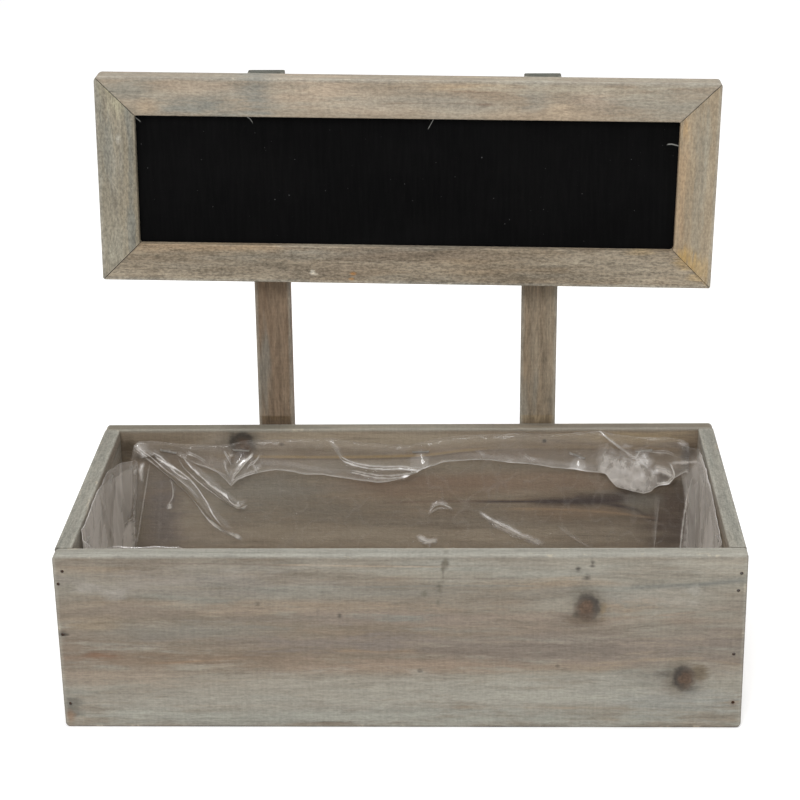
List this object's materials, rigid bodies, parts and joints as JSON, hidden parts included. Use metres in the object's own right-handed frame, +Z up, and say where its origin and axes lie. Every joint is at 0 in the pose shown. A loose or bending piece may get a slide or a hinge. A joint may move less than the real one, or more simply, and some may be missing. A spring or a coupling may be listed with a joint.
{
  "type": "planter box with chalkboard",
  "caption": "Rectangular greywashed wooden planter box with a film liner and a framed chalkboard held above its rear edge on two posts.",
  "frame": {"origin": "middle of the box's underside, on the middle bottom plank", "axes": "+X to the right seen from the front, +Y from the front board to the posts, +Z up"},
  "size_m": [0.4, 0.21, 0.3507],
  "materials": {
    "board_wood": "thin grey-brown wash over pine, matt, worn at the arrises",
    "plank_wood": "thin grey-brown wash over pine, matt",
    "post_wood": "thin grey-brown wash over pine, matt",
    "frame_wood": "thin grey-brown wash over pine, matt, worn at the arrises",
    "chalkboard": "matt black chalkboard paint",
    "film": "clear glossy crumpled film",
    "nail_steel": "dark steel, slightly rusted",
    "staple_wire": "bright galvanised wire",
    "screw_steel": "bright zinc plate"
  },
  "bodies": {
    "root": {"front_board": "board_wood", "back_board": "board_wood", "left_side_board": "board_wood", "right_side_board": "board_wood", "bottom_plank_front": "plank_wood", "bottom_plank_middle": "plank_wood", "bottom_plank_rear": "plank_wood", "liner": "film", "left_post": "post_wood", "right_post": "post_wood", "sign_top_rail": "frame_wood", "sign_right_stile": "frame_wood", "sign_bottom_rail": "frame_wood", "sign_left_stile": "frame_wood", "chalkboard_panel": "chalkboard", "front_nails": "nail_steel", "back_nails": "nail_steel", "bottom_nails": "nail_steel", "liner_staples": "staple_wire", "box_screws": "screw_steel", "sign_screws": "screw_steel", "panel_points": "screw_steel", "mitre_staples": "staple_wire"}
  },
  "joints": []
}
